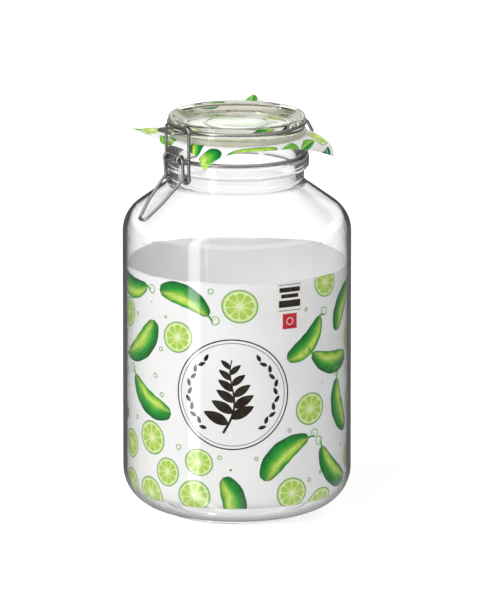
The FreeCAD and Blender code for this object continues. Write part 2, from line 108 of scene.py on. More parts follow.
def worked_out(tree, operation, *values):
    """The result of a sum on values that are numbers or other nodes' outputs."""
    node = add_node(tree, "ShaderNodeMath", operation=operation)
    for value, socket in zip(values, node.inputs):
        feed(tree, value, socket)
    return node.outputs[0]


def ranged(tree, source, low, high, to_low=0.0, to_high=1.0, easing="LINEAR"):
    """A value spread from one range over another, and held at its ends."""
    node = add_node(tree, "ShaderNodeMapRange", interpolation_type=easing,
                    inputs={"From Min": low, "From Max": high,
                            "To Min": to_low, "To Max": to_high})
    feed(tree, source, node.inputs["Value"])
    return node.outputs["Result"]


def ramped(tree, source, stops):
    """A colour picked by a value from (place, colour) stops, given in rising order."""
    node = add_node(tree, "ShaderNodeValToRGB")
    ramp = node.color_ramp
    for end, (place, tone) in zip(ramp.elements, (stops[0], stops[-1])):
        end.position = place
        end.color = tone
    for place, tone in stops[1:-1]:
        ramp.elements.new(place).color = tone
    feed(tree, source, node.inputs["Fac"])
    return node.outputs["Color"]


def blended(tree, share, first, second, blend_type="MIX"):
    """Two colours laid over each other by a share."""
    node = add_node(tree, "ShaderNodeMix", data_type="RGBA", blend_type=blend_type)
    feed(tree, share, node.inputs[0])
    feed(tree, first, node.inputs[6])
    feed(tree, second, node.inputs[7])
    return node.outputs[2]


def either(tree, share, first, second):
    """One shader or the other, by a share."""
    node = add_node(tree, "ShaderNodeMixShader")
    feed(tree, share, node.inputs["Fac"])
    feed(tree, first.outputs[0], node.inputs[1])
    feed(tree, second.outputs[0], node.inputs[2])
    return node


def grained(tree, scale, detail, roughness=0.5):
    """A noise that stays with the piece."""
    place = add_node(tree, "ShaderNodeTexCoord")
    grain = add_node(tree, "ShaderNodeTexNoise",
                     inputs={"Scale": scale, "Detail": detail, "Roughness": roughness})
    feed(tree, place.outputs["Object"], grain.inputs["Vector"])
    return grain.outputs["Fac"]


def bumped(tree, source, strength, distance):
    bump = add_node(tree, "ShaderNodeBump", inputs={"Strength": strength, "Distance": distance})
    feed(tree, source, bump.inputs["Height"])
    return bump.outputs["Normal"]


def new_material(name):
    material = bpy.data.materials.new(name)
    material.use_nodes = True
    return material, material.node_tree


def finish_tree(tree, kind, shader):
    """Bring the last shader out of a node tree."""
    feed(tree, shader.outputs[0], add_node(tree, kind).inputs["Surface"])


def colour(written):
    """A colour written as RRGGBB, as the linear numbers a shader takes."""
    parts = [int(written[n:n + 2], 16) / 255 for n in (0, 2, 4)]
    return [p / 12.92 if p <= 0.04045 else ((p + 0.055) / 1.055) ** 2.4 for p in parts] + [1.0]


def build_room():
    room = bpy.data.worlds.new("studio_room")
    room.use_nodes = True
    tree = room.node_tree
    tree.nodes.clear()
    path = add_node(tree, "ShaderNodeLightPath")
    through_ray = path.outputs["Is Transmission Ray"]
    where = add_node(tree, "ShaderNodeTexCoord")
    split = add_node(tree, "ShaderNodeSeparateXYZ")
    feed(tree, where.outputs["Generated"], split.inputs[0])
    height = ranged(tree, split.outputs["Z"], -1.0, 1.0)

    def banded(stops):
        return ramped(tree, height, [(place, (grey, grey, grey, 1)) for place, grey in stops])

    white = add_node(tree, "ShaderNodeBackground")
    feed(tree, blended(tree, through_ray, WHITE, banded(SEEN_THROUGH)), white.inputs["Color"])
    ambient = add_node(tree, "ShaderNodeBackground",
                       inputs={"Color": (0.995, 0.995, 1.0, 1), "Strength": AMBIENT})
    # the strip runs from floor to ceiling at the front left
    bearing = worked_out(tree, "ARCTAN2", split.outputs["X"], split.outputs["Y"])
    aside = worked_out(tree, "ABSOLUTE", worked_out(tree, "SUBTRACT", bearing, GLEAM_BEARING))
    strip = ranged(tree, aside, GLEAM_CORE, GLEAM_REACH, 1.0, 0.0, easing="SMOOTHSTEP")
    gleam = worked_out(tree, "MULTIPLY_ADD", strip, GLEAM_STRENGTH, banded(MIRRORED))
    mirror_light = add_node(tree, "ShaderNodeBackground", inputs={"Color": WHITE})
    feed(tree, gleam, mirror_light.inputs["Strength"])
    bounced = worked_out(tree, "MAXIMUM", path.outputs["Is Glossy Ray"], through_ray)
    glossy = either(tree, bounced, ambient, mirror_light)
    # light that has bounced inside the glass comes from the room, not from the white sweep
    unbounced = worked_out(tree, "LESS_THAN", path.outputs["Glossy Depth"], NO_BOUNCE)
    straight = worked_out(tree, "MULTIPLY", through_ray, unbounced)
    direct = worked_out(tree, "MAXIMUM", path.outputs["Is Camera Ray"], straight)
    finish_tree(tree, "ShaderNodeOutputWorld", either(tree, direct, glossy, white))
    return room


scene.world = build_room()


def build_floor():
    form = bmesh.new()
    bmesh.ops.create_grid(form, x_segments=1, y_segments=1, size=FLOOR_HALF)
    mesh = bpy.data.meshes.new("floor")
    form.to_mesh(mesh)
    form.free()
    floor = bpy.data.objects.new("floor", mesh)
    scene.collection.objects.link(floor)
    floor.visible_glossy = False
    paint, tree = new_material("floor_paint")
    tree.nodes.clear()
    path = add_node(tree, "ShaderNodeLightPath")
    through_ray = path.outputs["Is Transmission Ray"]
    seen = worked_out(tree, "MAXIMUM", path.outputs["Is Camera Ray"], through_ray)
    glow = add_node(tree, "ShaderNodeEmission", inputs={"Color": WHITE})
    feed(tree, worked_out(tree, "MULTIPLY", seen, FLOOR_LIFT), glow.inputs["Strength"])
    matt = add_node(tree, "ShaderNodeBsdfDiffuse",
                    inputs={"Color": (FLOOR_GREY, FLOOR_GREY, FLOOR_GREY, 1)})
    total = add_node(tree, "ShaderNodeAddShader")
    feed(tree, matt.outputs[0], total.inputs[0])
    feed(tree, glow.outputs[0], total.inputs[1])
    # light that has bounced inside the glass takes its shade from the room instead
    bounced = worked_out(tree, "GREATER_THAN", path.outputs["Glossy Depth"], NO_BOUNCE)
    hidden = worked_out(tree, "MULTIPLY", through_ray, bounced)
    absent = add_node(tree, "ShaderNodeBsdfTransparent")
    finish_tree(tree, "ShaderNodeOutputMaterial", either(tree, hidden, total, absent))
    mesh.materials.append(paint)


build_floor()


def hang_lamp(name, place, watts, tint=(1, 1, 1)):
    lamp = bpy.data.lights.new(name, "AREA")
    lamp.shape = "SQUARE"
    lamp.size = LAMP_SIZE
    lamp.energy = watts
    lamp.color = tint
    holder = bpy.data.objects.new(name, lamp)
    holder.location = place
    toward = Vector(JAR_MIDDLE) - Vector(place)
    holder.rotation_euler = toward.to_track_quat("-Z", "Y").to_euler()
    holder.visible_camera = False
    holder.visible_glossy = False
    holder.visible_transmission = False
    scene.collection.objects.link(holder)


hang_lamp("key_lamp", (-2.7, -3.1, 3.0), 143, (1.0, 0.997, 0.992))
hang_lamp("back_lamp", (2.6, 3.6, 3.0), 60)

camera_data = bpy.data.cameras.new("camera")
camera_data.lens = 785.6
camera_data.sensor_fit = "HORIZONTAL"
camera_data.sensor_width = 36.0
camera_data.clip_end = 100.0
camera = bpy.data.objects.new("camera", camera_data)
aim = Vector((0.0027, 0.0, 0.1594))
look_down = math.radians(13.3)
camera.location = aim + Vector((0, -math.cos(look_down), math.sin(look_down))) * CAMERA_DISTANCE
camera.rotation_euler = (aim - camera.location).to_track_quat("-Z", "Y").to_euler()
scene.collection.objects.link(camera)
scene.camera = camera


# ---------------------------------------------------------------------------
# Jar body and lid: blown clear glass, thick at the heel and the neck, with a moulded collar
# that the wire lies on. The body stands on its foot ring, the lid has a sunk dish.
# ---------------------------------------------------------------------------
# how much of the painted edge shade comes in at which slant, from straight on (0) to grazing
# (1): painted dark shade at the wall's edges, standing in for the dark room the glass shows
# there
BODY_EDGE_SHADE = ((0.38, 0.02), (0.50, 0.09), (0.60, 0.20), (0.68, 0.36), (0.74, 0.48),
                  (0.80, 0.60), (0.90, 0.80))
LID_EDGE_SHADE = ((0.84, 0.0), (0.91, 0.25), (0.97, 0.75))


def clear_glass(name, face, edge, edge_shade_stops, ripple=0.0, ripple_scale=40.0):
    """Glass that lets lamps through to what it shuts in, with painted shade that darkens its
    wall where it is seen edge on, for camera rays only. The face is the glass's own tint
    straight on, and the edge is the painted dark shade at a grazing view."""
    glass, tree = new_material(name)
    tree.nodes.clear()
    path = add_node(tree, "ShaderNodeLightPath")
    slant = add_node(tree, "ShaderNodeLayerWeight", inputs={"Blend": 0.5})
    stops = [(place, [f + (e - f) * share for f, e in zip(face, edge)])
             for place, share in edge_shade_stops]
    tints = ramped(tree, slant.outputs["Facing"], [(0.0, face)] + stops + [(1.0, edge)])
    body = add_node(tree, "ShaderNodeBsdfPrincipled",
                    inputs={"Roughness": 0.0, "IOR": 1.5, "Transmission Weight": 1.0})
    # painted shade: camera rays see the base colour go dark toward the grazing edge
    feed(tree, blended(tree, path.outputs["Is Camera Ray"], face, tints),
         body.inputs["Base Color"])
    if ripple:
        waves = grained(tree, ripple_scale, 2.0)
        feed(tree, bumped(tree, waves, 1.0, ripple), body.inputs["Normal"])
    passing = worked_out(tree, "MAXIMUM", path.outputs["Is Shadow Ray"],
                         path.outputs["Is Diffuse Ray"])
    open_air = add_node(tree, "ShaderNodeBsdfTransparent",
                        inputs={"Color": (0.985, 0.987, 0.985, 1)})
    finish_tree(tree, "ShaderNodeOutputMaterial", either(tree, passing, body, open_air))
    return glass


def finish_node(node, material):
    """Give a carried-over solid its material."""
    mesh = nodes[node].data
    mesh.materials.clear()
    mesh.materials.append(material)


# the second, near-black colour of each glass is its painted edge shade
finish_node("jar_glass", clear_glass("jar_glass_clear", (0.975, 0.978, 0.976, 1),
                                     (0.030, 0.032, 0.030, 1), BODY_EDGE_SHADE,
                                     ripple=0.0002, ripple_scale=14.0))
finish_node("lid_glass", clear_glass("lid_glass_clear", colour("FCFBF0"), (0.06, 0.06, 0.05, 1),
                                     LID_EDGE_SHADE))


# ---------------------------------------------------------------------------
# Bail: four pieces of bright drawn steel wire, bent and closed by welding.
# ---------------------------------------------------------------------------
def drawn_steel():
    steel, tree = new_material("drawn_steel")
    body = tree.nodes["Principled BSDF"]
    body.inputs["Metallic"].default_value = 1.0
    grain = grained(tree, 900.0, 3.0, 0.6)
    # painted reflection and shade: the base colour is bright along the middle of the wire and
    # dark grey where it turns away, standing in for the dark room it mirrors
    slant = add_node(tree, "ShaderNodeLayerWeight", inputs={"Blend": 0.5})
    tints = ramped(tree, slant.outputs["Facing"],
                   [(0.10, colour("C9C7C3")), (0.66, colour("32302D"))])
    worn = ranged(tree, grain, 0.0, 1.0, 0.78, 1.0)
    feed(tree, blended(tree, 1.0, tints, worn, "MULTIPLY"), body.inputs["Base Color"])
    feed(tree, ranged(tree, grain, 0.0, 1.0, 0.16, 0.34), body.inputs["Roughness"])
    return steel


steel = drawn_steel()
for wire in ("neck_wire", "lid_wire", "lever", "clamp_loop"):
    finish_node(wire, steel)


# ---------------------------------------------------------------------------
# Gasket: a flat ring of pale translucent rubber, squeezed between lid and mouth.
# ---------------------------------------------------------------------------
def pale_rubber():
    rubber, tree = new_material("pale_rubber")
    body = tree.nodes["Principled BSDF"]
    body.inputs["Roughness"].default_value = 0.42
    body.inputs["Transmission Weight"].default_value = 0.35
    body.inputs["IOR"].default_value = 1.4
    tints = ramped(tree, grained(tree, 160.0, 3.0),
                   [(0.3, colour("D6D6C0")), (0.7, colour("E9E9D8"))])
    feed(tree, tints, body.inputs["Base Color"])
    return rubber


finish_node("gasket", pale_rubber())


# ---------------------------------------------------------------------------
# Rolled paper: one strip curled round inside the wall, its ends lapped at the back and its
# foot turned in by the glass heel. White stock, printed on the outside only.
# ---------------------------------------------------------------------------
def paper_stock(name):
    """Uncoated white paper with a faint fibre fleck."""
    paper, tree = new_material(name)
    body = tree.nodes["Principled BSDF"]
    body.inputs["Roughness"].default_value = 0.78
    body.inputs["Specular IOR Level"].default_value = 0.25
    fibre = grained(tree, 1400.0, 4.0, 0.65)
    cloud = grained(tree, 28.0, 2.0)
    fleck = add_node(tree, "ShaderNodeMix", data_type="FLOAT", inputs={0: 0.6})
    feed(tree, fibre, fleck.inputs[2])
    feed(tree, cloud, fleck.inputs[3])
    tints = ramped(tree, fleck.outputs[0],
                   [(0.32, colour("F3F2F2")), (0.62, colour("FBFAFB"))])
    feed(tree, tints, body.inputs["Base Color"])
    feed(tree, bumped(tree, fibre, 0.35, 0.0001), body.inputs["Normal"])
    return paper


def paper_patch(form, columns, rows):
    """A flat grid of paper or print, with each corner's place along (0 to 1) and across
    (-1 to 1) it."""
    made = bmesh.ops.create_grid(form, x_segments=columns, y_segments=rows, size=0.5)
    return [(corner, corner.co.x + 0.5, corner.co.y * 2) for corner in made["verts"]]


def finish_piece(name, form, material, body, thickness=0.0):
    """Make a shaped form into a piece that rides on a body."""
    mesh = bpy.data.meshes.new(name)
    for face in form.faces:
        face.smooth = True
    form.to_mesh(mesh)
    form.free()
    mesh.materials.append(material)
    piece = bpy.data.objects.new(name, mesh)
    scene.collection.objects.link(piece)
    if thickness:
        wall = piece.modifiers.new("thickness", "SOLIDIFY")
        wall.thickness = thickness
        wall.offset = -1.0
    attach(piece, body)
    return piece


sleeve_low, sleeve_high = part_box("paper_sleeve")
SLEEVE_CLEAR = 0.05 * MM
SLEEVE_RADIUS = sleeve_high.x - SLEEVE_CLEAR
SLEEVE_FOOT = sleeve_low.z
SLEEVE_TOP = sleeve_high.z
HEEL_TURN_RADIUS = 57.0 * MM
HEEL_TURN_Z = 33.2 * MM
SLEEVE_START = math.radians(96)
SLEEVE_LAP = math.radians(11)
LAP_DIP = 0.32 * MM
EDGE_WAVE = 0.42 * MM
EDGE_DROP = 1.6
PAPER = 0.25 * MM


def sleeve_edge(angle):
    """Height of the strip's hand-cut top edge, round the jar."""
    wave = 0.55 * math.sin(3 * angle + 0.7) + 0.45 * math.sin(7 * angle + 2.0)
    wave += 0.35 * math.sin(16 * angle) + 0.25 * math.sin(29 * angle + 1.0)
    return SLEEVE_TOP + (wave - EDGE_DROP) * EDGE_WAVE


def on_sleeve(angle, z, proud=0.0):
    """A point on the rolled strip. The last of its turn dips inside the first at the lap."""
    round_angle = angle - SLEEVE_START
    lap_way = min(max((round_angle - math.tau + SLEEVE_LAP) / SLEEVE_LAP, 0.0), 1.0)
    radius = SLEEVE_RADIUS - LAP_DIP * lap_way * lap_way * (3 - 2 * lap_way)
    if z < HEEL_TURN_Z:
        reach = SLEEVE_RADIUS - HEEL_TURN_RADIUS
        radius += math.sqrt(reach ** 2 - (HEEL_TURN_Z - z) ** 2) - reach
    radius += proud
    return Vector((math.cos(angle) * radius, math.sin(angle) * radius, z))


form = bmesh.new()
for corner, along, across in paper_patch(form, 240, 44):
    angle = SLEEVE_START + along * (math.tau + SLEEVE_LAP)
    share = (across + 1) / 2
    corner.co = on_sleeve(angle, SLEEVE_FOOT + (sleeve_edge(angle) - SLEEVE_FOOT) * share)
white_paper = paper_stock("white_paper")
sleeve = finish_piece("rolled_paper", form, white_paper, "jar", thickness=PAPER)
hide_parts("paper_sleeve")


# ---------------------------------------------------------------------------
# Print on the rolled paper: loose watercolour pods and citrus slices in greens, with a plain
# brown ring and sprig on the front. Each motif is a very thin layer of ink. Places and sizes
# on the flat print are in millimetres, round from its front and up from the jar's foot.
# ---------------------------------------------------------------------------
def mixed(first, second, share):
    share = min(max(share, 0.0), 1.0)
    return [a + (b - a) * share for a, b in zip(first, second)]


def graded(stops, place):
    """The colour at a place among (place, colour) stops."""
    for (low, low_ink), (high, high_ink) in zip(stops, stops[1:]):
        if place <= high:
            return mixed(low_ink, high_ink, (place - low) / (high - low))
    return stops[-1][1]


def turned(x, y, degrees):
    turn = math.radians(degrees)
    return x * math.cos(turn) - y * math.sin(turn), x * math.sin(turn) + y * math.cos(turn)


def lay(form, ink, columns, rows, lift, shape):
    """Lay one patch of ink on the flat print: the shape gives x, y and ink for a place."""
    for corner, along, across in paper_patch(form, columns, rows):
        x, y, tone = shape(along, across)
        corner.co = (x, y, lift)
        corner[ink] = tone


def brush(form, ink, way, width, tone, columns=24, lift=2.0, taper=0.0):
    """A brush stroke of a width along a way, thinner toward its end by the taper."""
    def shape(along, across):
        x0, y0 = way(along)
        x1, y1 = way(along + 0.002)
        size = math.hypot(x1 - x0, y1 - y0) or 1.0
        half = width / 2 * (1 - taper * along)
        return (x0 - (y1 - y0) / size * half * across,
                y0 + (x1 - x0) / size * half * across, tone)
    lay(form, ink, columns, 1, lift, shape)


def lay_dot(form, ink, x, y, radius, tone):
    def disc(along, across):
        spin = along * math.tau
        return (x + math.cos(spin) * radius * (across + 1) / 2,
                y + math.sin(spin) * radius * (across + 1) / 2, tone)
    lay(form, ink, 8, 1, 2.0, disc)


POD_INKS = [(-1.0, colour("07571F")), (-0.72, colour("0B7A2B")), (-0.30, colour("1E9E36")),
            (0.05, colour("76C236")), (0.35, colour("D8EE76")), (0.62, colour("B2DC48")),
            (0.86, colour("3DA32F")), (1.0, colour("128030"))]
POD_TIP_INK = colour("0F6B28")
FRECKLE = colour("1B7A2E")
FRECKLES = 8
FRECKLE_RADIUS = 0.42
CURL_TURNS = 1.35
CURL_RADIUS = 3.6


def lay_pod(form, ink, x, y, turn, length, width, bend, tip_tendril=True):
    """A plump curved pod, dark along its back and pale along its belly."""
    def shape(along, across):
        swell = math.sin(math.pi * min(max(along, 0.0), 1.0)) ** 0.40
        swell *= 1 + 0.02 * math.cos(along * math.tau * 4)
        # the far end is fuller than the stalk end
        swell *= 0.78 + 0.26 * along
        spine_x = (along - 0.5) * length
        spine_y = bend * ((2 * along - 1) ** 2 - 0.5)
        slope = math.atan2(4 * bend * (2 * along - 1), length)
        half = width / 2 * swell
        px = spine_x - math.sin(slope) * half * across
        py = spine_y + math.cos(slope) * half * across
        blot = noise.noise(Vector((x + along * 5, y + across * 1.6, 0.0)))
        tone = graded(POD_INKS, across + 0.22 * blot)
        tone = mixed(tone, POD_TIP_INK, 0.85 * (abs(2 * along - 1) ** 4))
        px, py = turned(px, py, turn)
        return x + px, y + py, tone
    lay(form, ink, 36, 12, 1.0, shape)
    for number in range(FRECKLES):
        share = 0.16 + 0.095 * number
        px = (share - 0.5) * length
        py = bend * ((2 * share - 1) ** 2 - 0.5)
        py += width * (0.10 + 0.07 * math.sin(number * 2.4))
        px, py = turned(px, py, turn)
        lay_dot(form, ink, x + px, y + py, FRECKLE_RADIUS, FRECKLE)
    if tip_tendril:
        end_x, end_y = -0.5 * length, bend * 0.5

        def stalk(along):
            px = end_x - along * length * 0.13
            py = end_y + along * along * length * 0.10
            px, py = turned(px + length * 0.03, py, turn)
            return x + px, y + py
        brush(form, ink, stalk, 2.0, colour("4FA23C"), columns=8, taper=0.5)
        start = stalk(1.0)

        def curl(along):
            spin = along * math.tau * CURL_TURNS
            reach = CURL_RADIUS * (1 - 0.72 * along)
            px, py = turned(math.sin(spin) * reach - along * 3.0,
                            CURL_RADIUS - math.cos(spin) * reach, turn + 150)
            return start[0] + px, start[1] + py
        brush(form, ink, curl, 0.9, colour("86BF4B"), columns=30, taper=0.5)


SLICE_INKS = [(0.0, colour("F3F7CE")), (0.2, colour("E6F2AE")), (0.7, colour("D3EA86")),
              (0.84, colour("EDF6C2")), (0.9, colour("D9EE98")), (0.94, colour("57A845")),
              (1.0, colour("3B8F3C"))]
FLESH_INNER = colour("C9E473")
FLESH_OUTER = colour("A6D052")
SEGMENTS = 9


def lay_slice(form, ink, x, y, turn, radius, squash=0.93):
    """A round slice: green rind, pale pith and nine lime segments."""
    def spot(spin, share):
        px, py = turned(math.cos(spin) * radius * share,
                        math.sin(spin) * radius * share * squash, turn)
        return x + px, y + py

    def disc(along, across):
        share = (across + 1) / 2
        return *spot(along * math.tau, share), graded(SLICE_INKS, share)
    lay(form, ink, 36, 12, 1.0, disc)
    for number in range(SEGMENTS):
        middle = math.tau * number / SEGMENTS

        def segment(along, across):
            spread = 0.29 * math.sin(math.pi * (0.12 + 0.70 * along)) ** 0.6
            spin = middle + spread * across * (0.35 + 0.65 * min(along * 3, 1.0))
            return *spot(spin, 0.16 + 0.62 * along), mixed(FLESH_INNER, FLESH_OUTER, along)
        lay(form, ink, 6, 2, 2.0, segment)


def leaf_swell(along, foot, blunt):
    """Half width of a leaf along its length, full at 1. A lower foot sets the widest place
    nearer the stalk, and a lower blunt rounds the ends."""
    return math.sin(math.pi * along ** foot) ** blunt if 0 < along < 1 else 0.0


def lay_leaf(form, ink, x, y, turn, length, width, bend):
    """A pointed leaf, one half darker than the other, with a pale midrib."""
    def blade(along, across):
        swell = leaf_swell(along, 0.8, 0.85)
        px = (along - 0.5) * length
        py = bend * (1 - (2 * along - 1) ** 2) + width / 2 * swell * across
        px, py = turned(px, py, turn)
        dark = mixed(colour("1F8330"), colour("4BA63C"), abs(across))
        pale = mixed(colour("8CCB4B"), colour("56AE3D"), abs(across))
        return x + px, y + py, mixed(dark, pale, across * 6 + 0.5)
    lay(form, ink, 22, 8, 1.0, blade)

    def rib(along):
        px = (along - 0.56) * length * 0.98
        px, py = turned(px, bend * (1 - (2 * min(max(along, 0.0), 1.0) - 1) ** 2), turn)
        return x + px, y + py
    brush(form, ink, rib, 0.9, colour("CFE58C"), columns=16, taper=0.7)


def lay_ring(form, ink, x, y, radius, width, tone, columns, lift=1.0):
    def way(along):
        spin = along * math.tau
        return x + math.cos(spin) * radius, y + math.sin(spin) * radius
    brush(form, ink, way, width, tone, columns=columns, lift=lift)


def lay_bar(form, ink, x, y, wide, high, tone, lift):
    lay(form, ink, 6, 2, lift,
        lambda along, across: (x + (along - 0.5) * wide, y + across * high / 2, tone))


def watercolour():
    """Ink that soaks in unevenly, by the colours laid down with each motif."""
    inked, tree = new_material("watercolour_ink")
    body = tree.nodes["Principled BSDF"]
    body.inputs["Roughness"].default_value = 0.6
    body.inputs["Specular IOR Level"].default_value = 0.12
    laid = add_node(tree, "ShaderNodeAttribute", attribute_name="ink")
    share = ranged(tree, grained(tree, 170.0, 4.0, 0.6), 0.40, 0.75, 0.0, 0.05)
    wash = blended(tree, share, laid.outputs["Color"], colour("B9D98A"), "SCREEN")
    feed(tree, wash, body.inputs["Base Color"])
    return inked


ink_material = watercolour()
# millimetres from one layer of ink to the next, and from the paper to the lowest
INK_LAYER = 0.02
INK_LIFT = 0.03


def finish_print(name, form, place, body):
    """Trim the flat print to its paper and carry it onto the paper's surface."""
    for corner in form.verts:
        proud = corner.co.z * INK_LAYER * MM + INK_LIFT * MM
        corner.co = place(corner.co.x * MM, corner.co.y * MM, proud)
    bmesh.ops.dissolve_degenerate(form, dist=0.01 * MM, edges=form.edges)
    bmesh.ops.recalc_face_normals(form, faces=form.faces)
    finish_piece(name, form, ink_material, body)


BROWN = colour("22100D")
FRONT = math.radians(-90)
EMBLEM_X = -3.4
EMBLEM_Y = 108.5
PANEL_X = 41.0
PANEL_Y = 180.5
OUTER_RING = 42.6
INNER_RING = 39.9
SPRIG_LEAVES = 11
GARLAND_RADIUS = 33.5
GARLAND_LEAVES = 11
GARLAND_STEP = 10.4
PANEL_GROUND = colour("F8F5F3")
PANEL_SQUARE_DROP = 17.0

form = bmesh.new()
ink = form.verts.layers.float_color.new("ink")

# the ring and its sprig
lay_ring(form, ink, EMBLEM_X, EMBLEM_Y, OUTER_RING, 1.0, BROWN, columns=96)
lay_ring(form, ink, EMBLEM_X, EMBLEM_Y, INNER_RING, 0.45, BROWN, columns=96)


def stem(along):
    return (EMBLEM_X - 7 + 11 * along + 4.5 * math.sin(along * math.pi * 1.6),
            EMBLEM_Y - 30 + 57 * along)


brush(form, ink, stem, 2.0, BROWN, columns=40, taper=0.6)
for number in range(SPRIG_LEAVES):
    way = 0.12 + 0.075 * number
    foot_x, foot_y = stem(way)
    side = 1 if number % 2 else -1
    reach = 21.0 - 1.1 * number
    lean = 90 - side * (58 - 2.4 * number)

    def sprig_leaf(along, across):
        swell = leaf_swell(along, 0.85, 0.8)
        droop = side * -1.8 * along ** 2
        px, py = turned(along * reach, reach * 0.21 * swell * across + droop, lean)
        return foot_x + px, foot_y + py, BROWN
    lay(form, ink, 12, 3, 1.0, sprig_leaf)

# two garlands of small leaves follow the ring, left and right of the sprig
for number in range(2 * GARLAND_LEAVES):
    on_left = number >= GARLAND_LEAVES
    spin = math.radians((-52 + GARLAND_STEP * (number % GARLAND_LEAVES)) + 180 * on_left)
    garland_x = EMBLEM_X + math.cos(spin) * GARLAND_RADIUS
    garland_y = EMBLEM_Y + math.sin(spin) * GARLAND_RADIUS
    lean = math.degrees(spin) + (-90 if on_left else 90) + (24 if number % 2 else -24)

    def garland_leaf(along, across):
        swell = leaf_swell(along, 0.85, 0.8)
        px, py = turned((along - 0.2) * 6.6, 1.5 * swell * across, lean)
        return garland_x + px, garland_y + py, BROWN
    lay(form, ink, 8, 2, 1.0, garland_leaf)

# the small panel: white ground, plain bars between two rules, and a red square
lay_bar(form, ink, PANEL_X, PANEL_Y - 5.0, 21.0, 38.0, PANEL_GROUND, lift=3.0)
for rise, wide, high in ((11.4, 18.6, 0.5), (7.4, 17.2, 3.6), (2.6, 14.4, 3.0),
                         (-3.4, 18.0, 5.4), (-8.6, 18.6, 0.5)):
    lay_bar(form, ink, PANEL_X, PANEL_Y + rise, wide, high, BROWN, lift=4.0)
square_y = PANEL_Y - PANEL_SQUARE_DROP
lay_bar(form, ink, PANEL_X, square_y, 11.8, 11.8, colour("C8102A"), lift=4.0)
lay_ring(form, ink, PANEL_X, square_y, 2.6, 0.7, colour("F6D9DB"), columns=20, lift=5.0)

# the scattered motifs: each is tried here and there round the strip until it lies clear of
# the ring, the panel and the motifs before it
layout = random.Random(23)
AROUND = math.tau * SLEEVE_RADIUS / MM
MARGIN = 2.2
PRINT_LOW = 14
PRINT_HIGH = 198
MOTIFS = 150
TRIES = 60
POD_LENGTH = 47
POD_WIDTH = 20
SLICE_RADIUS = 12.8
DROPS = 240
DROP_GREEN = colour("7DBB55")
# discs already spoken for: middle and radius
taken = [(EMBLEM_X, EMBLEM_Y, 43.5)]
taken += [(PANEL_X, PANEL_Y + rise, 9.5) for rise in (8, -5, -18)]


def lies_clear(discs):
    for x, y, radius in discs:
        for other_x, other_y, other_radius in taken:
            across = (x - other_x + AROUND / 2) % AROUND - AROUND / 2
            if math.hypot(across, y - other_y) < radius + other_radius + MARGIN:
                return False
    return True


def pod_discs(x, y, turn, length, width):
    """Three discs that together cover a pod."""
    discs = [(x, y, width * 0.5)]
    for end in (-0.34, 0.34):
        end_x, end_y = turned(end * length, 0, turn)
        discs.append((x + end_x, y + end_y, width * 0.42))
    return discs


for number in range(MOTIFS):
    is_slice = number % 5 in (1, 3)
    for attempt in range(TRIES):
        x = layout.uniform(-AROUND / 2, AROUND / 2)
        y = layout.uniform(PRINT_LOW, PRINT_HIGH)
        turn = layout.uniform(0, 360)
        size = layout.uniform(0.88, 1.1)
        radius, length, width = SLICE_RADIUS * size, POD_LENGTH * size, POD_WIDTH * size
        discs = [(x, y, radius)] if is_slice else pod_discs(x, y, turn, length, width)
        if lies_clear(discs):
            taken += discs
            if is_slice:
                lay_slice(form, ink, x, y, turn, radius)
            else:
                lay_pod(form, ink, x, y, turn, length, width, layout.choice((-7, 7)) * size)
            break

# little rings and drops between them
for number in range(DROPS):
    x = layout.uniform(-AROUND / 2, AROUND / 2)
    y = layout.uniform(PRINT_LOW + 6, PRINT_HIGH - 6)
    radius = layout.uniform(0.8, 2.0)
    if lies_clear([(x, y, radius)]):
        taken.append((x, y, radius + 3))
        if number % 3:
            lay_ring(form, ink, x, y, radius, 0.8, DROP_GREEN, columns=12)
        else:
            lay_dot(form, ink, x, y, radius * 0.55, colour("6DB04A"))


def onto_sleeve(x, y, proud):
    """The place on the strip for a place on the flat print, kept inside the strip's edges."""
    angle = FRONT + x / SLEEVE_RADIUS
    while angle < SLEEVE_START:
        angle += math.tau
    z = min(max(y, SLEEVE_FOOT + 0.1 * MM), sleeve_edge(angle) - 0.12 * MM)
    return on_sleeve(angle, z, proud)


finish_print("rolled_paper_print", form, onto_sleeve, "jar")


# ---------------------------------------------------------------------------
# Cover paper: a printed square laid over the mouth before the lid was shut on it. Its middle
# is pinched under the gasket, and its edge hangs in folds, with free corners at the sides.
# ---------------------------------------------------------------------------
COVER_SIDE = 120.0 * MM
COVER_SHIFT = Vector((0.0, 6.0 * MM))
COVER_TURN = 36.0
COVER_FOLD = 52.5 * MM
COVER_FLAT_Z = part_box("jar_glass")[1].z + 0.28 * MM
COVER_BEND = 5.0 * MM
# the share of the sheet's rows that lies flat inside the fold
FLAT_SHARE = 0.3
COCKLE = 1.1
# how the edge hangs, going round by azimuth: slope below level, further curl at the edge,
# sideways lean of the edge, and the length that is creased away (or pulled out, if negative)
COVER_HANG = [
    (358.0, -4.0, 95.0, 0.0, 0.8), (38.0, 76.0, 0.0, 0.0, 4.5), (81.0, -18.0, 0.0, 0.0, 1.3),
    (128.0, 62.0, 0.0, 0.0, 0.0), (170.0, -1.0, 6.0, 0.0, 2.0), (187.0, 6.0, 4.0, 0.0, 0.0),
    (203.0, 80.0, 0.0, 0.0, -2.0), (232.0, 80.0, 0.0, 0.0, -2.0),
    (261.0, 74.0, 4.0, -15.0, 6.0), (308.0, 72.0, 4.0, -3.0, -3.0),
]


def hang_at(azimuth):
    """Slope, curl, lean and crease at an azimuth, eased between the rows around it."""
    for number, row in enumerate(COVER_HANG):
        following = COVER_HANG[(number + 1) % len(COVER_HANG)]
        span = (following[0] - row[0]) % 360
        way = (azimuth - row[0]) % 360
        if way < span:
            ease = (1 - math.cos(math.pi * way / span)) / 2
            return [a + (b - a) * ease for a, b in zip(row[1:], following[1:])]


